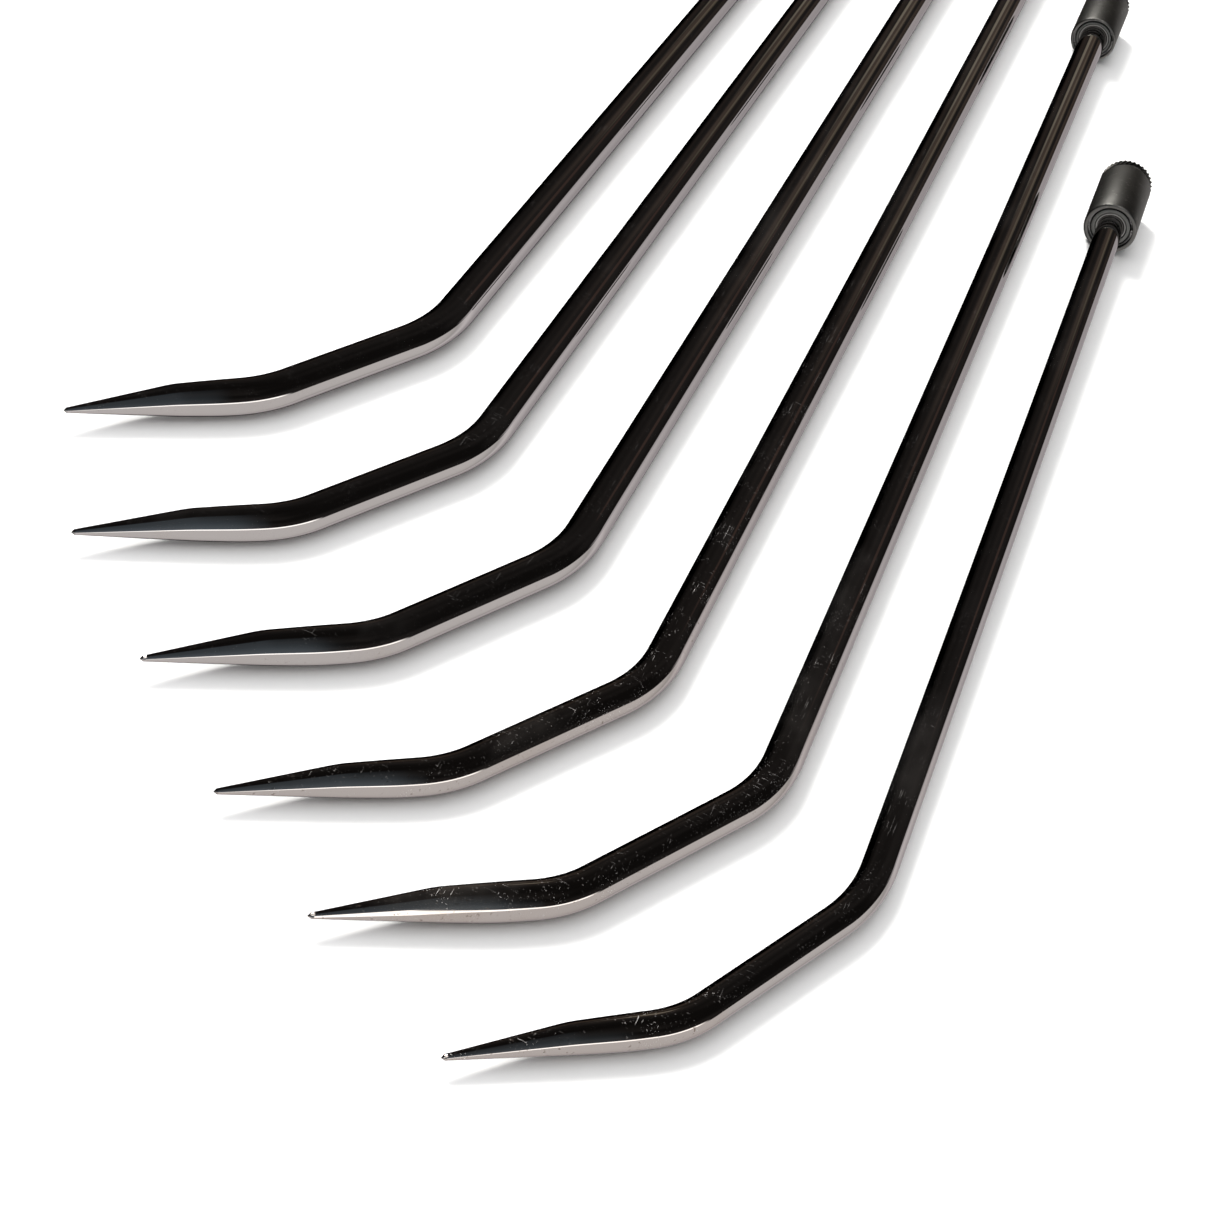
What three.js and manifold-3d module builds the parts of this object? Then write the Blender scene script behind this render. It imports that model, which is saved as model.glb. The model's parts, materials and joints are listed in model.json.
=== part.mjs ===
// A set of six bent prying rods for lifting dents out of sheet metal, laid side by side.
// Each tool is a polished round steel rod with two bends and a ground point, and carries
// a quick-change coupling head: a hub fixed on the rod's end, a sleeve that is pulled back
// against a spring, and a lock ball that holds a handle's spigot in the hub's socket.
// Millimetres, +Z up. The stems run along +Y and the points lie towards -Y.
import * as THREE from 'three';
import { mergeVertices } from 'three/addons/utils/BufferGeometryUtils.js';
import Module from 'manifold-3d';

const wasm = await Module();
wasm.setup();

const rad = THREE.MathUtils.degToRad;

// --- driving dimensions ---

// The tools, longest first. They are bent, ground and laid out by hand, so no two agree exactly.
// stem: from the main bend to the head's front rim. middle: from the main bend to the second bend.
// point: from the second bend to the tip. across, along: place of the main bend. Angles in degrees.
const TOOLS = [
  { diameter: 8.5, sleeve: 14.4, stem: 745, middle: 51.8, point: 44.5, mainBend: 23, tipBend: 18.7,
    across: 0, along: 0, turn: -1 },
  { diameter: 8.1, sleeve: 14.4, stem: 652, middle: 52.9, point: 45, mainBend: 24.7, tipBend: 21.7,
    across: 23, along: -33, turn: -0.6 },
  { diameter: 8.4, sleeve: 14.4, stem: 559, middle: 53.8, point: 47.3, mainBend: 25.6, tipBend: 21.5,
    across: 52, along: -54, turn: 0 },
  { diameter: 7.8, sleeve: 14.4, stem: 466, middle: 54, point: 45.2, mainBend: 27.6, tipBend: 21.9,
    across: 79, along: -79, turn: 0.3 },
  { diameter: 7.9, sleeve: 13.6, stem: 373, middle: 55.7, point: 48.5, mainBend: 27.7, tipBend: 23.8,
    across: 109, along: -93, turn: 0.7 },
  { diameter: 7.1, sleeve: 14.4, stem: 280, middle: 53.6, point: 45.8, mainBend: 25, tipBend: 24.3,
    across: 134, along: -109, turn: 0.82 },
];

const DRAWN_DOWN = 0.93; // diameter beyond the main bend, as a share of the stem's
const MAIN_BEND_REACH = 10; // from the bend's corner to where its curve starts
const TIP_BEND_REACH = 6.5;
const GRIND = { inner: 23, outer: 35 }; // how far from the tip the section is still whole on each side
const TIP_RADIUS = 0.5;
const ROD_SIDES = 12;
const BEND_STEPS = 5;
const TAPER_STEPS = 5;

// The head. Places along it count from the sleeve's front rim towards the handle end.
const SLEEVE = { bore: 6.05, land: 5.6, length: 28, stopAt: 14.3, sides: 20 };
const GROOVE = { radius: 6.35, from: 0.8, to: 1.7 }; // for the circlip
const RAMP = { from: 19, to: 23, radius: 6.2 }; // frees the ball as the sleeve slides back
const HUB = { from: 1.2, to: 27.7, wall: 0.6, radius: 5.25, socket: 3.8, socketFrom: 18, sides: 16 };
const FLANGE = { from: 11, to: 14, radius: 5.85 };
const ROD_END = 16; // how far the rod reaches into the head
const FIT_GAP = 0.2; // between the rod and its hub
const SPRING_GAP = 0.3;
const PLATE = { from: 1.9, thickness: 1, radius: 5.75 };
const CIRCLIP = {
  from: 0.95, thickness: 0.6, outer: 6.15, inner: 5.6, lug: 5.25, gap: 9, lugWidth: 13, angle: 25,
};
const SPRING = { radius: 5.55, wire: 0.3, turns: 3.5, sides: 4, stepsPerTurn: 12 };
const SCREW = { at: 3, radius: 1.1, inner: 6.15, standsOut: 0.8, hole: 1.4, angle: 235 };
const BALL = { at: 22.7, radius: 1.15, centre: 4.25, hole: 1.4 };

// --- finishes ---

const finish = (color, roughness) => new THREE.MeshStandardMaterial({ color, roughness, metalness: 1 });
const polishedSteel = finish(0x6d6b6b, 0.08);
const gunMetal = finish(0x5d5b56, 0.42);
const blackenedSteel = finish(0x34332f, 0.35);
const phosphatedSteel = finish(0x6f716c, 0.55);
const springSteel = finish(0x55565a, 0.3);
const ballSteel = finish(0xb4b6ba, 0.12);

// --- solids ---

// Drops normals and texture coordinates and joins the seams, so that a geometry is one closed body.
function closed(geometry) {
  const plain = geometry.clone();
  plain.deleteAttribute('normal');
  plain.deleteAttribute('uv');
  return mergeVertices(plain, 1e-4);
}

function solid(geometry) {
  const body = closed(geometry);
  return new wasm.Manifold(new wasm.Mesh({
    numProp: 3,
    vertProperties: Float32Array.from(body.attributes.position.array),
    triVerts: Uint32Array.from(body.index.array),
  }));
}

function geometryOf(manifold) {
  const mesh = manifold.getMesh();
  const geometry = new THREE.BufferGeometry();
  geometry.setAttribute('position', new THREE.BufferAttribute(mesh.vertProperties, 3));
  geometry.setIndex(new THREE.BufferAttribute(mesh.triVerts, 1));
  return geometry;
}

const drill = (body, tool) => geometryOf(solid(body).subtract(solid(tool)));

function named(name, geometry, material) {
  const mesh = new THREE.Mesh(geometry, material);
  mesh.name = name;
  return mesh;
}

// A ring or cup turned about the head's axis, from its outline as [radius, place along the head].
function turned(outline, sides) {
  return new THREE.LatheGeometry(outline.map(([r, along]) => new THREE.Vector2(r, along)), sides);
}

// A round bar standing across the head's axis, at an angle counted from the tool's right side upwards.
function radialBar(radius, from, to, along, angle, sides = 12) {
  const bar = new THREE.CylinderGeometry(radius, radius, to - from, sides);
  bar.rotateZ(-Math.PI / 2);
  bar.translate((from + to) / 2, 0, 0);
  bar.rotateY(-rad(angle));
  return bar.translate(0, along, 0);
}

// --- the rod ---

// Stations from the stem's end to the tip: where the section's centre is and how big it is.
function rodStations(tool, stemDirection) {
  const stemRadius = tool.diameter / 2;
  const radius = stemRadius * DRAWN_DOWN;
  const corner = new THREE.Vector3(0, 0, stemRadius);
  const heading = (degrees) => new THREE.Vector3(-Math.sin(rad(degrees)), -Math.cos(rad(degrees)), 0);
  const middleEnd = corner.clone().addScaledVector(heading(tool.mainBend), tool.middle).setZ(radius);
  const pointDirection = heading(tool.mainBend + tool.tipBend);
  const tip = middleEnd.clone().addScaledVector(pointDirection, tool.point);
  const inwards = new THREE.Vector3().crossVectors(pointDirection, new THREE.Vector3(0, 0, 1));
  const stemEnd = corner.clone().addScaledVector(stemDirection, tool.stem + ROD_END - FIT_GAP);

  const towards = (from, to, reach) => from.clone().add(to.clone().sub(from).setLength(reach));
  const bend = (before, at, after, reach) => new THREE.QuadraticBezierCurve3(
    towards(at, before, reach), at, towards(at, after, reach)).getPoints(BEND_STEPS);

  const mainBend = bend(stemEnd, corner, middleEnd, MAIN_BEND_REACH);
  const stations = [{ centre: stemEnd, radius: stemRadius }];
  mainBend.forEach((centre, i) => {
    const share = i / BEND_STEPS;
    stations.push({ centre, radius: THREE.MathUtils.lerp(stemRadius, radius, share) });
  });
  const tipBend = bend(corner, middleEnd, tip, TIP_BEND_REACH);
  tipBend.forEach((centre) => stations.push({ centre, radius }));
  for (let i = 1; i <= TAPER_STEPS; i += 1) {
    stations.push({ centre: tipBend[BEND_STEPS].clone().lerp(tip, i / TAPER_STEPS), radius });
  }

  // Grinding: what is left of the section on each side of the line to the tip.
  for (const station of stations.slice(-TAPER_STEPS - BEND_STEPS)) {
    const left = station.centre.distanceTo(tip);
    const inner = THREE.MathUtils.lerp(TIP_RADIUS, radius, Math.min(left / GRIND.inner, 1));
    const outer = THREE.MathUtils.lerp(TIP_RADIUS, radius, Math.min(left / GRIND.outer, 1));
    station.radius = (inner + outer) / 2;
    station.centre.addScaledVector(inwards, (inner - outer) / 2);
  }
  return stations;
}

// A cylinder with one ring of vertices per station, each ring moved to its station.
function rodGeometry(stations) {
  const last = stations.length - 1;
  const geometry = new THREE.CylinderGeometry(1, 1, last, ROD_SIDES, last);
  const up = new THREE.Vector3(0, 0, 1);
  const frames = stations.map(({ centre }, i) => {
    const before = stations[Math.max(i - 1, 0)].centre;
    const after = stations[Math.min(i + 1, last)].centre;
    const ahead = after.clone().sub(before).normalize();
    const side = new THREE.Vector3().crossVectors(ahead, up).normalize();
    return { centre, side, top: new THREE.Vector3().crossVectors(side, ahead) };
  });
  const vertices = geometry.attributes.position;
  const vertex = new THREE.Vector3();
  for (let i = 0; i < vertices.count; i += 1) {
    vertex.fromBufferAttribute(vertices, i);
    const station = Math.round(vertex.y + last / 2);
    const { centre, side, top } = frames[station];
    const { radius } = stations[station];
    const moved = centre.clone().addScaledVector(side, vertex.x * radius);
    moved.addScaledVector(top, vertex.z * radius);
    vertices.setXYZ(i, moved.x, moved.y, moved.z);
  }
  return geometry;
}

// --- the head's pieces ---

// Steel cup with a chamfered front rim. Inside: circlip groove, spring bore, stop land and ball ramp.
function sleeveGeometry(radius) {
  const { bore, land, length, stopAt, sides } = SLEEVE;
  const body = turned([
    [bore + 0.25, 0], [radius - 0.45, 0], [radius, 0.45], [radius, length - 0.4], [radius - 0.4, length],
    [land + 0.4, length], [land, length - 0.4], [land, RAMP.to], [RAMP.radius, RAMP.from],
    [land, stopAt + 1], [land, stopAt], [bore, stopAt], [bore, GROOVE.to], [GROOVE.radius, GROOVE.to],
    [GROOVE.radius, GROOVE.from], [bore, GROOVE.from], [bore, 0.25], [bore + 0.25, 0],
  ], sides);
  return drill(body, radialBar(SCREW.hole, SCREW.inner - 1, radius + 1, SCREW.at, SCREW.angle));
}

// Hub on the rod's end: neck round the rod, flange for the spring, and the handle's socket behind.
function hubGeometry(stemRadius) {
  const rodBore = stemRadius + FIT_GAP;
  const neck = stemRadius + HUB.wall;
  const body = turned([
    [0, ROD_END], [rodBore, ROD_END], [rodBore, HUB.from], [neck - 0.25, HUB.from], [neck, HUB.from + 0.25],
    [neck, FLANGE.from], [FLANGE.radius, FLANGE.from], [FLANGE.radius, FLANGE.to], [HUB.radius, FLANGE.to],
    [HUB.radius, HUB.to], [HUB.socket, HUB.to], [HUB.socket, HUB.socketFrom], [0, HUB.socketFrom],
  ], HUB.sides);
  return drill(body, radialBar(BALL.hole, HUB.socket - 1, HUB.radius + 1, BALL.at, 90));
}

// Front plate: the washer that closes the sleeve's mouth and carries the spring's front end.
function plateGeometry(stemRadius) {
  const inner = stemRadius + HUB.wall + 0.3;
  const { from, thickness, radius } = PLATE;
  return turned([
    [inner, from], [radius, from], [radius, from + thickness], [inner, from + thickness], [inner, from],
  ], HUB.sides);
}

// Circlip with a lug on each side of its gap.
function circlipGeometry() {
  const { from, thickness, outer, inner, lug, gap, lugWidth, angle } = CIRCLIP;
  const at = (r, degrees) => [r * Math.cos(rad(degrees)), r * Math.sin(rad(degrees))];
  const ring = new THREE.Shape();
  ring.absarc(0, 0, outer, rad(gap), rad(360 - gap), false);
  ring.lineTo(...at(lug, -gap));
  ring.lineTo(...at(lug, -gap - lugWidth));
  ring.absarc(0, 0, inner, rad(360 - gap - lugWidth), rad(gap + lugWidth), true);
  ring.lineTo(...at(lug, gap + lugWidth));
  ring.lineTo(...at(lug, gap));
  const options = { depth: thickness, bevelEnabled: false, curveSegments: 8 };
  const geometry = new THREE.ExtrudeGeometry(ring, options);
  return geometry.rotateX(Math.PI / 2).rotateY(-rad(angle)).translate(0, from + thickness, 0);
}

class Helix extends THREE.Curve {
  constructor(radius, from, to, turns) {
    super();
    Object.assign(this, { radius, from, to, turns });
  }

  getPoint(t, target = new THREE.Vector3()) {
    const angle = t * this.turns * 2 * Math.PI;
    const along = THREE.MathUtils.lerp(this.from, this.to, t);
    return target.set(this.radius * Math.cos(angle), along, this.radius * Math.sin(angle));
  }
}

// Return spring between the front plate and the hub's flange.
function springGeometry() {
  const { radius, wire, turns, sides, stepsPerTurn } = SPRING;
  const clearance = SPRING_GAP + wire;
  const path = new Helix(radius, PLATE.from + PLATE.thickness + clearance, FLANGE.from - clearance, turns);
  const section = new THREE.Shape();
  section.absarc(0, 0, wire, 0, 2 * Math.PI, false);
  return new THREE.ExtrudeGeometry(section, {
    extrudePath: path, steps: Math.round(turns * stepsPerTurn), curveSegments: sides / 2,
  });
}

// --- assembly ---

function buildTool(tool, number) {
  const label = `tool_${number}`;
  const stemRadius = tool.diameter / 2;
  const sleeveRadius = tool.sleeve / 2;
  // The head's rim rests on the surface, level with the bend, just clear of sinking in.
  const rise = Math.asin((sleeveRadius + 0.02 - stemRadius) / tool.stem);
  const stemDirection = new THREE.Vector3(0, Math.cos(rise), Math.sin(rise));

  const head = new THREE.Group();
  head.position.set(0, 0, stemRadius).addScaledVector(stemDirection, tool.stem);
  head.rotation.x = rise;
  const ball = new THREE.SphereGeometry(BALL.radius, 10, 6);
  const screwHead = sleeveRadius + SCREW.standsOut;
  const screw = radialBar(SCREW.radius, SCREW.inner, screwHead, SCREW.at, SCREW.angle, 10);
  head.add(
    named(`${label}_hub`, hubGeometry(stemRadius), blackenedSteel),
    named(`${label}_sleeve`, sleeveGeometry(sleeveRadius), gunMetal),
    named(`${label}_front_plate`, plateGeometry(stemRadius), phosphatedSteel),
    named(`${label}_circlip`, circlipGeometry(), springSteel),
    named(`${label}_spring`, springGeometry(), springSteel),
    named(`${label}_guide_screw`, screw, blackenedSteel),
    named(`${label}_lock_ball`, ball.translate(0, BALL.at, BALL.centre), ballSteel),
  );

  const group = new THREE.Group();
  group.add(named(`${label}_rod`, rodGeometry(rodStations(tool, stemDirection)), polishedSteel), head);
  group.position.set(tool.across, tool.along, 0);
  group.rotation.z = rad(tool.turn);
  return group;
}

const layout = new THREE.Group();
TOOLS.forEach((tool, i) => layout.add(buildTool(tool, i + 1)));

// The origin is the middle of the set's footprint, on the surface that it lies on.
layout.updateMatrixWorld(true);
const box = new THREE.Box3().setFromObject(layout, true);
layout.position.set(-(box.min.x + box.max.x) / 2, -(box.min.y + box.max.y) / 2, -box.min.z);

const dentRodSet = new THREE.Group();
dentRodSet.add(layout);

export default dentRodSet;
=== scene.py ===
# A set of six bent prying rods for lifting dents out of sheet metal, lying side by side on a pale
# table. Each rod carries a spring-loaded quick-change coupling head for a handle.
import json
import math

import bmesh
import bpy
from mathutils import Matrix, Vector


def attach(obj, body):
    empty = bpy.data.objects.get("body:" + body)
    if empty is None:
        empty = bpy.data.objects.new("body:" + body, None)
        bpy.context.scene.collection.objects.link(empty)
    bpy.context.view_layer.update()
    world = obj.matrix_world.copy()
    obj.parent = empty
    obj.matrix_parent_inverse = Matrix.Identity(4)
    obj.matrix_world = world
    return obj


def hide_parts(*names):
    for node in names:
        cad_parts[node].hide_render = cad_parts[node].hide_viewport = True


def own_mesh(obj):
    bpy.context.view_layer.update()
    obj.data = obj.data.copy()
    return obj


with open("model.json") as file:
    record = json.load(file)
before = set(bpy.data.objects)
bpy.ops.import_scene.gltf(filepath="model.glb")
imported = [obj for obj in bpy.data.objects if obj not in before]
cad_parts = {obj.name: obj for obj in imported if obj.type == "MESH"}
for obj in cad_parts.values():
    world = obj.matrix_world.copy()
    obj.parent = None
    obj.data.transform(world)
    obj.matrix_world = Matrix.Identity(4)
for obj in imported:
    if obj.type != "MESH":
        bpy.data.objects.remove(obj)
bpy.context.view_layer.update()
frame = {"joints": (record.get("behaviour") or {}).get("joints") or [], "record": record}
scene = bpy.context.scene
scene.view_settings.view_transform = "Standard"


# --- camera ---
# It stands behind the points and looks down along the stems, turned about its own axis.

camera = bpy.data.objects.new("camera", bpy.data.cameras.new("camera"))
scene.collection.objects.link(camera)
scene.camera = camera
camera.data.sensor_width = 36
camera.data.lens = 77.12

yaw, pitch, roll = math.radians(5.55), math.radians(38.8267), math.radians(21.569)
level_right = Vector((math.cos(yaw), math.sin(yaw), 0))
level_ahead = Vector((-math.sin(yaw), math.cos(yaw), 0))
looking = level_ahead * math.cos(pitch) - Vector((0, 0, math.sin(pitch)))
level_top = level_right.cross(looking)
view_right = math.cos(roll) * level_right + math.sin(roll) * level_top
view_top = math.cos(roll) * level_top - math.sin(roll) * level_right
camera_place = Matrix((view_right, view_top, -looking)).transposed().to_4x4()
camera_place.translation = Vector((0.060508, -0.763986, 0.33421))
camera.matrix_world = camera_place


# --- rods ---
# Round alloy steel bar, drawn down a little at the working end, bent twice in the same plane,
# ground to a point and polished all over. The far end is brazed into the coupling hub.

MM = 0.001
TOOLS = [
    {"diameter": 8.5, "sleeve": 14.4, "stem": 745, "middle": 51.8, "point": 44.5, "main_bend": 23,
     "tip_bend": 18.7, "wear": 0.1, "bend_wear": 0.05, "facet": 0.0},
    {"diameter": 8.1, "sleeve": 14.4, "stem": 652, "middle": 52.9, "point": 45, "main_bend": 24.7,
     "tip_bend": 21.7, "wear": 0.1, "bend_wear": 0.1, "facet": 0.0},
    {"diameter": 8.4, "sleeve": 14.4, "stem": 559, "middle": 53.8, "point": 47.3, "main_bend": 25.6,
     "tip_bend": 21.5, "wear": 0.2, "bend_wear": 0.15, "facet": 0.0},
    {"diameter": 7.8, "sleeve": 14.4, "stem": 466, "middle": 54, "point": 45.2, "main_bend": 27.6,
     "tip_bend": 21.9, "wear": 0.8, "bend_wear": 0.9, "facet": 0.0},
    {"diameter": 7.9, "sleeve": 13.6, "stem": 373, "middle": 55.7, "point": 48.5, "main_bend": 27.7,
     "tip_bend": 23.8, "wear": 1.0, "bend_wear": 0.6, "facet": 1.0},
    {"diameter": 7.1, "sleeve": 14.4, "stem": 280, "middle": 53.6, "point": 45.8, "main_bend": 25,
     "tip_bend": 24.3, "wear": 1.0, "bend_wear": 0.3, "facet": 0.25},
]
DRAWN_DOWN = 0.93
MAIN_BEND_REACH = 10
TIP_BEND_REACH = 6.5
GROUND_INNER, GROUND_OUTER = 24, 35
TIP_RADIUS = 0.5
ROD_END = 15.8
SEAT_AT, SEAT_RADIUS = 27.7, 4.5
INNER_SHOULDER, OUTER_SHOULDER = 34, 20  # how sharply each ground face runs out into the round bar
NOSE_END = 0.12
FACET_ANGLE, FACET_HALF_WIDTH = 27.0, 15.0  # a reground flat above the point's outer side
FACET_FROM, FACET_FADE = 4, 28
BEND_STEPS, STEM_STEPS, MIDDLE_STEPS, POINT_STEPS = 18, 40, 12, 60
ROD_SIDES = 96
HARD_EDGE = 32

seats = {mount["name"]: Vector(mount["pos_m"]) for mount in frame["record"]["mounts"]}
axes = {joint["name"]: Vector(joint["axis"]).normalized() for joint in frame["joints"]}


def head_place(number):
    """The head's own axes: right, back to the handle, and up, from the middle of the front rim."""
    back, up = axes[f"sleeve_{number}_pull"], axes[f"lock_ball_{number}_release"]
    place = Matrix((back.cross(up), back, up)).transposed().to_4x4()
    place.translation = seats[f"handle_seat_{number}"] - back * SEAT_AT * MM - up * SEAT_RADIUS * MM
    return place


def mixed(a, b, share):
    return a + (b - a) * share


def curve_through(before, corner, after, reach):
    """Points along a bend, from reach before the corner to reach after it."""
    start = corner + (before - corner).normalized() * reach
    end = corner + (after - corner).normalized() * reach
    return [mixed(mixed(start, corner, t), mixed(corner, end, t), t) for t in
            (step / BEND_STEPS for step in range(BEND_STEPS + 1))]


def ground_radius(left, radius, length, sharpness):
    """How far one side of the point stands from its axis, with this much left before the tip."""
    share = 1 - math.log1p(math.exp(sharpness * (1 - left / (length * MM)))) / sharpness
    return mixed(TIP_RADIUS * MM, radius, max(share, 0))


def rod_stations(tool, place):
    """Centre, radius, wear and reground share of each section, from inside the hub to the tip."""
    right, back, up = (place.col[i].to_3d() for i in range(3))
    level = Vector((0, 0, 1)).cross(right)
    stem_radius = tool["diameter"] / 2 * MM
    radius = stem_radius * DRAWN_DOWN
    corner = place.translation - back * tool["stem"] * MM
    ground = corner.z - stem_radius

    def heading(degrees):
        return -right * math.sin(math.radians(degrees)) - level * math.cos(math.radians(degrees))

    middle_end = corner + heading(tool["main_bend"]) * tool["middle"] * MM
    middle_end.z = ground + radius
    pointing = heading(tool["main_bend"] + tool["tip_bend"])
    tip = middle_end + pointing * tool["point"] * MM
    inwards = pointing.cross(Vector((0, 0, 1)))
    stem_end = place.translation + back * ROD_END * MM

    main = curve_through(stem_end, corner, middle_end, MAIN_BEND_REACH * MM)
    second = curve_through(corner, middle_end, tip, TIP_BEND_REACH * MM)
    handled = tool["bend_wear"]
    stations = []
    for step in range(STEM_STEPS):
        share = step / STEM_STEPS
        centre = mixed(stem_end, main[0], share ** 0.6)
        stations.append((centre, stem_radius, handled * share ** 3, 0.0))
    for step, centre in enumerate(main):
        stations.append((centre, mixed(stem_radius, radius, step / BEND_STEPS), handled, 0.0))
    for step in range(1, MIDDLE_STEPS):
        stations.append((mixed(main[-1], second[0], step / MIDDLE_STEPS), radius, handled, 0.0))
    to_tip = [mixed(second[-1], tip, step / POINT_STEPS) for step in range(1, POINT_STEPS + 1)]
    for centre in second + to_tip:
        left = (tip - centre).length
        inner = ground_radius(left, radius, GROUND_INNER, INNER_SHOULDER)
        outer = ground_radius(left, radius, GROUND_OUTER, OUTER_SHOULDER)
        section = (inner + outer) / 2
        if left < section:
            section *= max(math.sqrt(1 - (1 - left / section) ** 2), NOSE_END)
        faded_in = (tool["point"] - FACET_FROM - left / MM) / FACET_FADE
        flat = tool["facet"] * min(max(faded_in, 0), 1)
        stations.append((centre + inwards * (inner - outer) / 2, section, tool["wear"], flat))
    return stations


def shown(name, mesh, material):
    """Puts a mesh in the scene, smooth but for its hard edges."""
    edited = bmesh.new()
    edited.from_mesh(mesh)
    bmesh.ops.recalc_face_normals(edited, faces=edited.faces)
    for face in edited.faces:
        face.smooth = True
    for edge in edited.edges:
        edge.smooth = edge.calc_face_angle(0) < math.radians(HARD_EDGE)
    edited.to_mesh(mesh)
    edited.free()
    mesh.materials.append(material)
    piece = bpy.data.objects.new(name, mesh)
    scene.collection.objects.link(piece)
    return piece


def skinned(name, rings, closed_ends=True):
    """A mesh from rings of points, each ring joined to the next, with a fan over each end."""
    sides = len(rings[0])
    points = [point for ring in rings for point in ring]
    faces = []
    for r in range(len(rings) - 1):
        for s in range(sides):
            a, b = r * sides + s, r * sides + (s + 1) % sides
            faces.append((a, b, b + sides, a + sides))
    if closed_ends:
        for ring, offset in ((rings[0], 0), (rings[-1], (len(rings) - 1) * sides)):
            points.append(sum(ring, Vector()) / sides)
            faces += [(offset + s, offset + (s + 1) % sides, len(points) - 1) for s in range(sides)]
    mesh = bpy.data.meshes.new(name)
    mesh.from_pydata(points, [], faces)
    return mesh


def rod_mesh(name, stations):
    rings = []
    for i, (centre, radius, _, flat) in enumerate(stations):
        ahead = (stations[min(i + 1, len(stations) - 1)][0] - stations[max(i - 1, 0)][0]).normalized()
        side = ahead.cross(Vector((0, 0, 1))).normalized()
        top = side.cross(ahead)
        ring = []
        for s in range(ROD_SIDES):
            a = 2 * math.pi * s / ROD_SIDES
            # side points inwards, so the outer side lies half a turn away.
            from_facet = a - math.pi + math.radians(FACET_ANGLE)
            aside = math.degrees(abs(math.remainder(from_facet, 2 * math.pi)))
            left = 1.0
            if aside < FACET_HALF_WIDTH:
                ground = math.cos(math.radians(FACET_HALF_WIDTH)) / math.cos(math.radians(aside))
                left = mixed(1.0, ground, flat)
            ring.append(centre + (side * math.cos(a) + top * math.sin(a)) * radius * left)
        rings.append(ring)
    mesh = skinned(name, rings)
    wear = mesh.attributes.new("wear", "FLOAT", "POINT")
    worn = [station[2] for station in stations for _ in range(ROD_SIDES)]
    worn += [stations[0][2], stations[-1][2]]
    wear.data.foreach_set("value", worn)
    return mesh


class Shade:
    """A socket of a shader node. Arithmetic on it adds Math nodes."""

    def __init__(self, tree, socket=None):
        self.tree, self.socket = tree, socket

    def node(self, kind, settings, inputs, output=0):
        """Adds a node: its settings first, then the values or links of its sockets."""
        made = self.tree.nodes.new("ShaderNode" + kind)
        for name, value in settings.items():
            setattr(made, name, value)
        for name, value in inputs.items():
            if isinstance(value, Shade):
                self.tree.links.new(value.socket, made.inputs[name])
            else:
                made.inputs[name].default_value = value
        return Shade(self.tree, made.outputs[output])

    def math(self, operation, *values):
        return self.node("Math", {"operation": operation}, dict(enumerate(values)))

    def __add__(self, other):
        return self.math("ADD", self, other)

    def __sub__(self, other):
        return self.math("SUBTRACT", self, other)

    def __rsub__(self, other):
        return self.math("SUBTRACT", other, self)

    def __mul__(self, other):
        return self.math("MULTIPLY", self, other)

    __radd__, __rmul__ = __add__, __mul__

    def eased(self, low, high):
        """0 below low, 1 above high, and a smooth step between."""
        settings = {"interpolation_type": "SMOOTHSTEP"}
        return self.node("MapRange", settings, {"Value": self, "From Min": low, "From Max": high})

    def placed(self, scale, turn=(0, 0, 0)):
        return self.node("Mapping", {}, {"Vector": self, "Scale": scale, "Rotation": turn})

    def noise(self, scale, detail=2.0, roughness=0.5):
        inputs = {"Vector": self, "Scale": scale, "Detail": detail, "Roughness": roughness}
        return self.node("TexNoise", {}, inputs)

    def colour(self, a, b):
        """Goes from colour a to colour b as this value goes from 0 to 1."""
        inputs = {"Factor": self, 6: a, 7: b}
        return self.node("Mix", {"data_type": "RGBA"}, inputs, output=2)

    def bumped(self, depth, strength=1.0):
        return self.node("Bump", {}, {"Height": self, "Distance": depth, "Strength": strength})


def rgb(red, green, blue):
    return (red, green, blue, 1.0)


def metal(name, edge_tint):
    """An empty metal finish: the material, the place on the piece, and the sockets to fill."""
    material = bpy.data.materials.new(name)
    material.use_nodes = True
    surface = material.node_tree.nodes["Principled BSDF"]
    surface.inputs["Metallic"].default_value = 1.0
    surface.inputs["Specular Tint"].default_value = edge_tint
    where = Shade(material.node_tree).node("TexCoord", {}, {}, output="Object")
    return material, where, surface


def wired(surface, **links):
    for name, shade in links.items():
        socket = surface.inputs[name.replace("_", " ")]
        shade.tree.links.new(shade.socket, socket)


polished_steel, where, surface = metal("mirror_polished_steel", rgb(0.62, 0.6, 0.6))
wear = where.node("Attribute", {"attribute_name": "wear"}, {}, output="Fac")
hand_wobble = where.placed((1, 0.3, 1)).noise(60, 1.0)
smudge = where.noise(45, 3.0, 0.6).eased(0.5, 0.72)
hairs_a = where.placed((6000, 170, 6000), (0.1, 0.2, 0.62)).noise(1.0, 0.0).eased(0.76, 0.81)
hairs_b = where.placed((190, 5400, 5400), (0.3, 0.1, 0.4)).noise(1.0, 0.0).eased(0.76, 0.81)
marked_areas = where.noise(110, 2.0).eased(0.46, 0.62)
specks = where.noise(2100, 1.0).eased(0.66, 0.74)
worn_patches = where.noise(260, 3.0, 0.65).eased(0.48, 0.62)
light_marks = (hairs_a + hairs_b) * marked_areas * (0.1 + wear) + specks * worn_patches * wear * 0.6
light_marks = light_marks.math("MINIMUM", light_marks, 1.0)
pits = where.noise(1300, 2.0).eased(0.6, 0.72) * worn_patches * wear
handling = where.placed((1, 0.45, 1)).noise(38, 4.0, 0.62).eased(0.52, 0.78)
film = handling * (0.25 + wear * 0.75)
tone = where.noise(22, 2.0).colour(rgb(0.43, 0.41, 0.4), rgb(0.47, 0.45, 0.44))


def blended(share, a, b):
    """Goes from one colour to another by a share; either may vary."""
    return share.node("Mix", {"data_type": "RGBA"}, {"Factor": share, 6: a, 7: b}, output=2)


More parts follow.
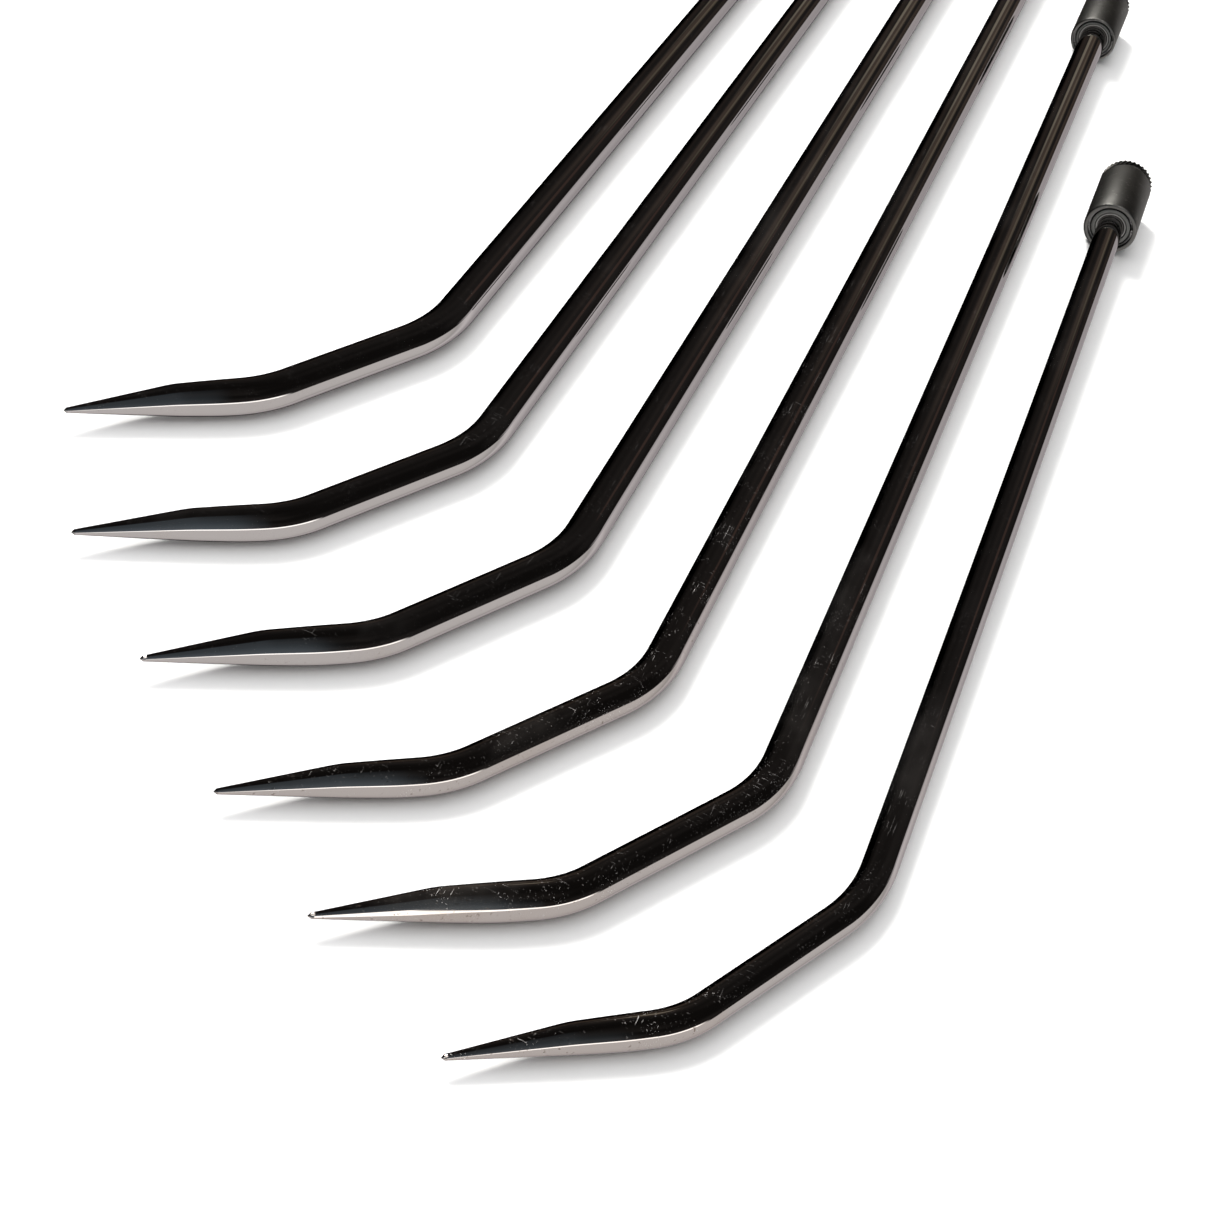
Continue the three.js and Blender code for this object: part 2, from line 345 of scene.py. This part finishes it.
tone = blended(wear * 0.4, tone, rgb(0.43, 0.37, 0.33))
tone = blended(film * 0.6, tone, rgb(0.4, 0.34, 0.29))
tone = blended(pits * 0.7, tone, rgb(0.12, 0.08, 0.055))
tone = blended(light_marks * 0.7, tone, rgb(0.62, 0.61, 0.6))
relief = hand_wobble * 0.45 - light_marks * 0.01 - pits * 0.012
wired(surface, Base_Color=tone,
      Roughness=0.035 + smudge * 0.025 + film * 0.06 + light_marks * 0.3 + pits * 0.2,
      Metallic=1.0 - light_marks * 0.35 - film * 0.05,
      Normal=relief.bumped(0.00004, 0.6))

for number, tool in enumerate(TOOLS, 1):
    name = f"bent_rod_{number}"
    stations = rod_stations(tool, head_place(number))
    rod = shown(name, rod_mesh(name, stations), polished_steel)
    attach(rod, f"tool_{number}")
    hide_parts(f"tool_{number}_rod")
    rod.visible_glossy = False  # keeps the rods out of each other's mirror image


# --- coupling hubs ---
# Turned steel, blackened. The neck is brazed round the rod, the flange holds the spring's back
# end, and the socket behind it takes the handle's spigot, with a radial hole for the lock ball.

HUB_FRONT, HUB_BACK, HUB_WALL, HUB_RADIUS = 0.85, 27.7, 0.6, 5.25
SOCKET_RADIUS, SOCKET_FROM = 3.8, 18
FLANGE_FRONT, FLANGE_BACK, FLANGE_RADIUS = 11, 14, 5.85
BALL_AT, BALL_RADIUS, BALL_CENTRE, BALL_HOLE = 22.7, 1.15, 4.25, 1.4


def rounded(outline, radius, steps=3):
    """Takes the sharp corners off a closed outline of (radius, place along the head) pairs."""
    corners = [Vector(corner) for corner in outline]
    points = []
    for i, corner in enumerate(corners):
        before, after = corners[i - 1], corners[(i + 1) % len(corners)]
        to_before, to_after = before - corner, after - corner
        reach = min(radius, to_before.length / 2.2, to_after.length / 2.2)
        if corner.x < 1e-6:
            points.append(corner)
            continue
        start, end = corner + to_before.normalized() * reach, corner + to_after.normalized() * reach
        for step in range(steps + 1):
            t = step / steps
            points.append(mixed(mixed(start, corner, t), mixed(corner, end, t), t))
    return points


def on_head(place, radius, angle, along):
    """A point of a head, from its radius, its angle up from the right side, and its place along."""
    return place @ (Vector((radius * math.cos(angle), along, radius * math.sin(angle))) * MM)


def turned(name, outline, place, sides, cut=None):
    """A turned mesh. cut takes a point's radius, angle and place along, and gives the radius left."""
    angles = [2 * math.pi * s / sides for s in range(sides)]
    left = cut or (lambda radius, angle, along: radius)
    rings = [[on_head(place, left(r, angle, along), angle, along) for r, along in outline]
             for angle in angles + angles[:1]]
    mesh = skinned(name, rings, closed_ends=False)
    joined = bmesh.new()
    joined.from_mesh(mesh)
    bmesh.ops.remove_doubles(joined, verts=joined.verts, dist=1e-7)
    joined.to_mesh(mesh)
    joined.free()
    return mesh


def bored(piece, radius, depth, segments, where_to):
    """Bores a round hole, whose axis is the z axis of where_to, out of a piece."""
    bar = bmesh.new()
    bmesh.ops.create_cone(bar, cap_ends=True, segments=segments, radius1=radius * MM,
                          radius2=radius * MM, depth=depth * MM)
    bar.transform(where_to)
    mesh = bpy.data.meshes.new("drill")
    bar.to_mesh(mesh)
    bar.free()
    drill = bpy.data.objects.new("drill", mesh)
    scene.collection.objects.link(drill)
    hole = piece.modifiers.new("hole", "BOOLEAN")
    hole.operation, hole.solver, hole.object = "DIFFERENCE", "EXACT", drill
    result = piece.evaluated_get(bpy.context.evaluated_depsgraph_get())
    bored_mesh = bpy.data.meshes.new_from_object(result)
    piece.modifiers.clear()
    piece.data = bored_mesh
    bpy.data.objects.remove(drill)


def drilled(piece, place, radius, inner, outer, along, angle):
    """Drills a radial hole through a piece's wall."""
    across = Matrix.Rotation(math.pi / 2, 4, "Y")
    middle = Matrix.Translation(((inner + outer) / 2 * MM, 0, 0))
    turn = Matrix.Translation((0, along * MM, 0)) @ Matrix.Rotation(-math.radians(angle), 4, "Y")
    bored(piece, radius, outer - inner, 32, place @ turn @ middle @ across)


black_oxide, where, surface = metal("black_oxide", rgb(0.5, 0.5, 0.48))
turning = where.placed((1400, 5200, 1400)).noise(1.0, 1.0)
blotch = where.noise(420, 3.0, 0.6)
rubbed = where.noise(900, 2.0).eased(0.6, 0.75)
dark = blotch.colour(rgb(0.2, 0.198, 0.19), rgb(0.3, 0.296, 0.283))
shine = blended(rubbed * 0.6, dark, rgb(0.4, 0.39, 0.37))
wired(surface, Base_Color=shine, Roughness=0.3 + blotch * 0.18 - rubbed * 0.1,
      Normal=(turning * 0.3 + blotch).bumped(0.00002, 0.5))


def add_part(name, mesh, material, number, body, node):
    """Shows one piece, and ties it to the body and the CAD node that it stands for."""
    piece = shown(name, mesh, material)
    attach(piece, f"{body}_{number}")
    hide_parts(f"tool_{number}_{node}")
    return piece


for number, tool in enumerate(TOOLS, 1):
    place = head_place(number)
    stem = tool["diameter"] / 2
    neck = stem + HUB_WALL
    outline = rounded([
        (0, ROD_END + 0.2), (stem + 0.05, ROD_END + 0.2), (stem + 0.05, HUB_FRONT), (neck, HUB_FRONT),
        (neck, FLANGE_FRONT), (FLANGE_RADIUS, FLANGE_FRONT), (FLANGE_RADIUS, FLANGE_BACK),
        (HUB_RADIUS, FLANGE_BACK), (HUB_RADIUS, HUB_BACK), (SOCKET_RADIUS, HUB_BACK),
        (SOCKET_RADIUS, SOCKET_FROM), (0, SOCKET_FROM)], 0.3)
    hub = add_part(f"coupling_hub_{number}", turned("hub", outline, place, 96), black_oxide,
                   number, "tool", "hub")
    drilled(hub, place, BALL_HOLE, SOCKET_RADIUS - 1, HUB_RADIUS + 1, BALL_AT, 90)


# --- slide sleeves ---
# Turned steel in a satin gun-metal finish, with a coarse rope knurl round the back rim for the
# fingers. Pulled back against the spring, it frees the lock ball.

SLEEVE_BORE, SLEEVE_LAND, SLEEVE_LENGTH, STOP_AT = 6.05, 5.6, 28, 14.3
RAMP_FROM, RAMP_TO, RAMP_RADIUS = 19, 23, 6.2
GROOVE_RADIUS, GROOVE_FROM, GROOVE_TO = 6.35, 0.8, 1.7
SCREW_AT, SCREW_ANGLE, SCREW_RADIUS, SCREW_HOLE = 3, 235, 1.1, 1.4
SCREW_INNER, SCREW_PROUD = 6.15, 0.8
KNURL_FROM, KNURL_TO, KNURL_TEETH, KNURL_DEPTH, KNURL_LEAD = 25.2, 27.7, 34, 0.5, 0.45

gun_metal, where, surface = metal("satin_gun_metal", rgb(0.6, 0.6, 0.58))
turning = where.placed((900, 6500, 900)).noise(1.0, 2.0)
satin = where.noise(3200, 2.0)
cloud = where.noise(260, 3.0, 0.6)
handled = where.noise(700, 3.0, 0.65).eased(0.56, 0.74)
# The outside of the knurled band at the back rim is made near-black, darker than the rest of the
# sleeve.
knurl_darkening = where.node("Attribute", {"attribute_name": "knurl_darkening"}, {}, output="Fac")
grey = cloud.colour(rgb(0.12, 0.118, 0.111), rgb(0.165, 0.162, 0.155))
worn = blended(handled * 0.4, grey, rgb(0.4, 0.39, 0.37))
worn = blended(knurl_darkening * (0.9 - handled * 0.3), worn, rgb(0.045, 0.043, 0.04))
wired(surface, Base_Color=worn, Roughness=0.36 + cloud * 0.08 - handled * 0.06,
      Normal=(turning * 0.6 + satin * 0.4 + handled * 0.2).bumped(0.000012, 0.6))


def sleeve_mesh(tool, place):
    outer = tool["sleeve"] / 2
    corners = [
        (SLEEVE_BORE + 0.1, 0), (outer - 0.3, 0), (outer, 0.32), (outer, KNURL_FROM - 0.45),
        (outer - 0.22, KNURL_FROM - 0.3), (outer - 0.22, KNURL_FROM - 0.1), (outer, KNURL_FROM)]
    rows = 14
    corners += [(outer, mixed(KNURL_FROM, KNURL_TO, row / rows)) for row in range(1, rows + 1)]
    corners += [
        (outer - 0.35, SLEEVE_LENGTH), (SLEEVE_LAND + 0.3, SLEEVE_LENGTH),
        (SLEEVE_LAND, SLEEVE_LENGTH - 0.3), (SLEEVE_LAND, RAMP_TO), (RAMP_RADIUS, RAMP_FROM),
        (SLEEVE_LAND, STOP_AT + 1), (SLEEVE_LAND, STOP_AT), (SLEEVE_BORE, STOP_AT),
        (SLEEVE_BORE, GROOVE_TO), (GROOVE_RADIUS, GROOVE_TO),
        (GROOVE_RADIUS, GROOVE_FROM), (SLEEVE_BORE, GROOVE_FROM), (SLEEVE_BORE, 0.12)]

    def knurled(radius, angle, along):
        if radius < outer - 0.4 or along < KNURL_FROM:
            return radius
        tooth = math.cos(KNURL_TEETH * angle + (along - KNURL_FROM) * 2 * math.pi * KNURL_LEAD)
        ends = min(1, (along - KNURL_FROM) / 0.3)
        return radius - KNURL_DEPTH * ends * (0.5 - 0.5 * tooth) ** 1.5

    mesh = turned("sleeve", rounded(corners, 0.12, 2), place, KNURL_TEETH * 8, knurled)
    to_head = place.inverted()
    # Marks the outside of the knurled band, which the finish makes near-black.
    knurl_darkening = mesh.attributes.new("knurl_darkening", "FLOAT", "POINT")
    for vertex, darkened in zip(mesh.vertices, knurl_darkening.data):
        spot = to_head @ vertex.co / MM
        outside = math.hypot(spot.x, spot.z) > SLEEVE_LAND + 0.6
        darkened.value = float(outside and spot.y > KNURL_FROM - 0.05)
    return mesh


for number, tool in enumerate(TOOLS, 1):
    place = head_place(number)
    sleeve = add_part(f"slide_sleeve_{number}", sleeve_mesh(tool, place), gun_metal,
                      number, "sleeve", "sleeve")
    drilled(sleeve, place, SCREW_HOLE, SCREW_INNER - 1, tool["sleeve"] / 2 + 1, SCREW_AT, SCREW_ANGLE)


# --- mouth plates ---
# A stamped steel washer, phosphated to a matte grey. It closes the sleeve's mouth round the hub's
# neck and bears the spring's front end, and its middle is crowned.

PLATE_FROM, PLATE_THICKNESS, PLATE_RADIUS, PLATE_CLEARANCE = 1.9, 1, 5.75, 0.12
CROWN_FROM, CROWN_RADIUS = 0.75, 5.38  # the middle is pressed forwards, through the retaining ring

phosphate, where, surface = metal("matte_phosphate", rgb(0.7, 0.7, 0.68))
crystals = where.node("TexVoronoi", {}, {"Vector": where, "Scale": 5200.0}, output="Distance")
cloud = where.noise(500, 3.0, 0.6)
grey = (cloud * 0.6 + crystals * 0.5).colour(rgb(0.15, 0.153, 0.145), rgb(0.3, 0.3, 0.285))
wired(surface, Base_Color=grey, Roughness=0.55 + crystals * 0.15,
      Normal=(crystals + cloud).bumped(0.00002, 0.6))

for number, tool in enumerate(TOOLS, 1):
    inner = tool["diameter"] / 2 + HUB_WALL + PLATE_CLEARANCE
    back = PLATE_FROM + PLATE_THICKNESS
    outline = rounded([
        (inner, CROWN_FROM + 0.1), (inner + 0.12, CROWN_FROM), (CROWN_RADIUS - 0.1, CROWN_FROM + 0.1),
        (CROWN_RADIUS, PLATE_FROM - 0.1), (CROWN_RADIUS + 0.1, PLATE_FROM),
        (PLATE_RADIUS, PLATE_FROM), (PLATE_RADIUS, back), (inner, back)], 0.18)
    add_part(f"mouth_plate_{number}", turned("plate", outline, head_place(number), 96), phosphate,
             number, "sleeve", "front_plate")


# --- retaining rings ---
# Stamped spring-steel circlip, sprung into the sleeve's groove in front of the mouth plate. Each
# end is a lug with a hole for the pliers.

RING_FROM, RING_THICKNESS, RING_OUTER, RING_INNER = 0.95, 0.6, 6.15, 5.6
LUG_RADIUS, LUG_GAP, LUG_WIDTH, RING_ANGLE, LUG_HOLE = 5.45, 9, 13, 25, 0.17

spring_steel, where, surface = metal("oiled_spring_steel", rgb(0.65, 0.65, 0.68))
drawn = where.noise(2600, 2.0)
oil = where.noise(600, 2.0).eased(0.45, 0.65)
tone = (drawn * 0.5 + oil * 0.5).colour(rgb(0.14, 0.14, 0.14), rgb(0.25, 0.247, 0.243))
wired(surface, Base_Color=tone, Roughness=0.34 - oil * 0.12 + drawn * 0.06,
      Normal=drawn.bumped(0.000008, 0.5))


def ring_mesh(place):
    """The ring's outline, swept round from one lug to the other, as a row of flat sections."""
    rings = []
    steps = 150
    for step in range(steps + 1):
        degrees = mixed(LUG_GAP, 360 - LUG_GAP, step / steps)
        from_end = min(degrees - LUG_GAP, 360 - LUG_GAP - degrees)
        ease = min(max((LUG_WIDTH - from_end) / 2, 0), 1)
        corner = 0.12 * max(1 - from_end / 1.2, 0) ** 2
        inner = mixed(RING_INNER, LUG_RADIUS, ease) + corner
        outer, bevel = RING_OUTER - corner, 0.07
        front, back = RING_FROM, RING_FROM + RING_THICKNESS
        section = [(inner + bevel, front), (outer - bevel, front), (outer, front + bevel),
                   (outer, back - bevel), (outer - bevel, back), (inner + bevel, back),
                   (inner, back - bevel), (inner, front + bevel)]
        angle = math.radians(degrees + RING_ANGLE)
        rings.append([on_head(place, r, angle, along) for r, along in section])
    return skinned("ring", rings)


def lug_hole(piece, place, degrees):
    middle = (LUG_RADIUS + RING_OUTER) / 2
    a = math.radians(degrees)
    spot = Matrix.Translation(Vector((middle * math.cos(a), RING_FROM, middle * math.sin(a))) * MM)
    bored(piece, LUG_HOLE, 3, 24, place @ spot @ Matrix.Rotation(math.pi / 2, 4, "X"))


for number in range(1, len(TOOLS) + 1):
    place = head_place(number)
    ring = add_part(f"retaining_ring_{number}", ring_mesh(place), spring_steel,
                    number, "sleeve", "circlip")
    for side in (-1, 1):
        lug_hole(ring, place, RING_ANGLE + side * (LUG_GAP + LUG_WIDTH / 2))


# --- return springs ---
# Round spring wire, coiled, with the end coils closed and ground. It pushes the sleeve forward off
# the hub's flange. The real spring shortens as the sleeve is pulled back; this one keeps one length.

SPRING_RADIUS, WIRE_RADIUS, SPRING_TURNS = 5.55, 0.3, 4.5
SPRING_FRONT, SPRING_BACK = 3.5, 10.4


def spring_mesh(place):
    steps = int(SPRING_TURNS * 48)
    rings = []
    for step in range(steps + 1):
        turn = step / 48
        coiled = min(max((turn - 0.75) / (SPRING_TURNS - 1.5), 0), 1)
        closing = 0.62 * (min(turn, 0.75) + max(turn - SPRING_TURNS + 0.75, 0)) / 1.5
        along = SPRING_FRONT + closing + (SPRING_BACK - SPRING_FRONT - 0.62) * coiled
        angle = 2 * math.pi * turn
        ring = []
        for s in range(12):
            a = 2 * math.pi * s / 12
            ring.append(on_head(place, SPRING_RADIUS + WIRE_RADIUS * math.cos(a), angle,
                                along + WIRE_RADIUS * math.sin(a)))
        rings.append(ring)
    return skinned("spring", rings)


for number in range(1, len(TOOLS) + 1):
    place = head_place(number)
    spring = add_part(f"return_spring_{number}", spring_mesh(place), spring_steel,
                      number, "tool", "spring")
    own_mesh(spring)


# --- guide screws ---
# A small blackened screw through the sleeve's front edge, its slotted head standing proud.


def screw_mesh(tool, place):
    proud = tool["sleeve"] / 2 + SCREW_PROUD
    angle = math.radians(SCREW_ANGLE)
    outward = Vector((math.cos(angle), 0, math.sin(angle)))
    along, across = Vector((0, 1, 0)), Vector((-math.sin(angle), 0, math.cos(angle)))
    profile = [(0.85, SCREW_INNER), (0.95, SCREW_INNER + 0.12), (0.95, proud - 0.85),
               (SCREW_RADIUS, proud - 0.8), (SCREW_RADIUS, proud - 0.3), (1.0, proud - 0.14),
               (0.82, proud - 0.05), (0.5, proud - 0.01)]
    rings = []
    for r, out in profile:
        ring = []
        for s in range(32):
            a = 2 * math.pi * s / 32
            slot = 0.22 if out > proud - 0.1 and abs(r * math.sin(a)) < 0.2 else 0
            spot = outward * (out - slot) + along * r * math.cos(a) + across * r * math.sin(a)
            ring.append(place @ ((spot + Vector((0, SCREW_AT, 0))) * MM))
        rings.append(ring)
    return skinned("screw", rings)


for number, tool in enumerate(TOOLS, 1):
    add_part(f"guide_pin_{number}", screw_mesh(tool, head_place(number)), black_oxide,
             number, "sleeve", "guide_screw")


# --- lock balls ---
# Hardened bearing ball, ground and lapped. It drops into the handle spigot's groove through the
# hub's wall, held down by the sleeve.

bearing_steel, where, surface = metal("lapped_bearing_steel", rgb(0.8, 0.8, 0.82))
lapped = where.noise(4000, 1.0)
contact = where.noise(1500, 2.0).eased(0.55, 0.7)
tone = contact.colour(rgb(0.6, 0.61, 0.63), rgb(0.42, 0.41, 0.4))
wired(surface, Base_Color=tone, Roughness=0.08 + contact * 0.14, Normal=lapped.bumped(0.000004, 0.4))


def ball_mesh(place):
    """Latitude rings, with the small polished flats of wear where the ball meets the sleeve."""
    rings = []
    for band in range(1, 24):
        polar = math.pi * band / 24
        ring = []
        for s in range(48):
            a = 2 * math.pi * s / 48
            across = math.sin(polar)
            spot = Vector((across * math.cos(a), across * math.sin(a), math.cos(polar)))
            spot.z = min(spot.z, 0.985)
            ring.append(place @ ((spot * BALL_RADIUS + Vector((0, BALL_AT, BALL_CENTRE))) * MM))
        rings.append(ring)
    return skinned("ball", rings)


for number in range(1, len(TOOLS) + 1):
    add_part(f"latch_ball_{number}", ball_mesh(head_place(number)), bearing_steel,
             number, "ball", "lock_ball")


# --- table and studio light ---
# A pale, matte table under a large soft light, slightly behind and to the left of the tools, and a
# weaker one above. The polished steel mirrors a room painted on the world instead: a pale table, a
# low bright window, a few lamps and dark walls.

TABLE_RINGS = [(3.0, -0.02), (3.0, 0.0), (0.5, 0.0)]
TABLE_SIDES = 64
corners = [2 * math.pi * s / TABLE_SIDES for s in range(TABLE_SIDES)]
table_mesh = skinned("table", [[Vector((r * math.cos(a), r * math.sin(a), z)) for a in corners]
                               for r, z in TABLE_RINGS])
pale = bpy.data.materials.new("pale_table")
pale.use_nodes = True
surface = pale.node_tree.nodes["Principled BSDF"]
surface.inputs["Specular IOR Level"].default_value = 0.0
where = Shade(pale.node_tree).node("TexCoord", {}, {}, output="Object")
grain = where.noise(900, 2.0)
wired(surface, Base_Color=grain.colour(rgb(0.83, 0.83, 0.832), rgb(0.85, 0.85, 0.85)),
      Roughness=0.9 + grain * 0.05)
table = shown("table", table_mesh, pale)


def soft_light(name, location, aim, size, power):
    light = bpy.data.objects.new(name, bpy.data.lights.new(name, "AREA"))
    scene.collection.objects.link(light)
    light.data.shape, light.data.size, light.data.energy = "SQUARE", size, power
    light.location = location
    light.rotation_euler = (Vector(aim) - Vector(location)).to_track_quat("-Z", "Y").to_euler()
    light.visible_glossy = False
    return light


soft_light("large_softbox", (-1.093, 0.293, 1.131), (0, 0, 0), 3.6, 57)
soft_light("ceiling", (0.1, 0, 2.0), (0.1, 0, 0), 3.0, 25)
table.visible_glossy = False

world = bpy.data.worlds.new("studio")
scene.world = world
world.use_nodes = True
sky = world.node_tree.nodes["Background"]
here = Shade(world.node_tree)
direction = here.node("TexCoord", {}, {}, output="Generated")
across = here.node("SeparateXYZ", {}, {"Vector": direction}, output="X")
along = here.node("SeparateXYZ", {}, {"Vector": direction}, output="Y")
height = here.node("SeparateXYZ", {}, {"Vector": direction}, output="Z")
level = here.math("SQRT", across * across + along * along)


def towards(azimuth, elevation):
    """How closely a direction of the room points to the given one, in degrees: 1 when it does."""
    a, e = math.radians(azimuth), math.radians(elevation)
    return (across * (math.cos(a) * math.cos(e)) + along * (math.sin(a) * math.cos(e))
            + height * math.sin(e))


def facing(azimuth):
    """How closely a direction's compass bearing agrees with the given one: 1 when it does."""
    a = math.radians(azimuth)
    beside = across * math.cos(a) + along * math.sin(a)
    return beside.math("DIVIDE", beside, level)


def within(closeness, edge, core):
    """0 beyond edge degrees away, 1 nearer than core degrees, from how closely a direction points."""
    return closeness.eased(math.cos(math.radians(edge)), math.cos(math.radians(core)))


def lit(value, red, green, blue):
    """A colour scaled by a value."""
    return value.node("CombineXYZ", {}, {"X": value * red, "Y": value * green, "Z": value * blue})


def summed(*colours):
    total = colours[0]
    for colour in colours[1:]:
        total = total.node("VectorMath", {"operation": "ADD"}, {0: total, 1: colour})
    return total


above = height.eased(-0.01, 0.01)
window = within(facing(335), 34, 24) * above * (1 - height.eased(0.08, 0.11))
glow = (1 - towards(46, 0).eased(0.1, 0.36)) * facing(330).eased(-0.2, 0.4)
glow = glow * (1 - height * 0.6) * above
streak = within(towards(100, 21), 6, 2)
gold = within(towards(84, 27), 5, 2)
ember = within(towards(74, 31), 6, 2)
sleeve_lamp = within(towards(141, 46), 10, 5)
front_lamp = within(towards(275, 64), 18, 10)
patches = direction.noise(1.6, 1.0).eased(0.35, 0.7)
far_wall = within(towards(90, 10), 30, 14) * direction.noise(3.5, 1.0).eased(0.4, 0.65)
table_glow = (1 - above) * facing(330).eased(-0.1, 0.6)
far_table = within(facing(62), 24, 12) * (1 - height.eased(0.09, 0.13))

mirrored = summed(
    lit(window, 3.0, 2.95, 2.9), lit(glow, 0.13, 0.165, 0.195), lit(streak, 0.3, 0.27, 0.21),
    lit(gold, 0.09, 0.08, 0.055), lit(ember, 0.05, 0.028, 0.022), lit(sleeve_lamp, 60.0, 59.0, 57.0),
    lit(front_lamp, 3.2, 3.1, 3.0), lit(far_wall, 0.085, 0.062, 0.048),
    lit(table_glow, 0.95, 0.92, 0.91), lit(far_table, 0.74, 0.71, 0.73),
    lit((0.4 + patches * 0.7) * above, 0.022, 0.02, 0.019))
seen = here.node("LightPath", {}, {}, output="Is Camera Ray")
backdrop = blended(seen, mirrored, rgb(0.93, 0.93, 0.93))
world.node_tree.links.new(backdrop.socket, sky.inputs["Color"])
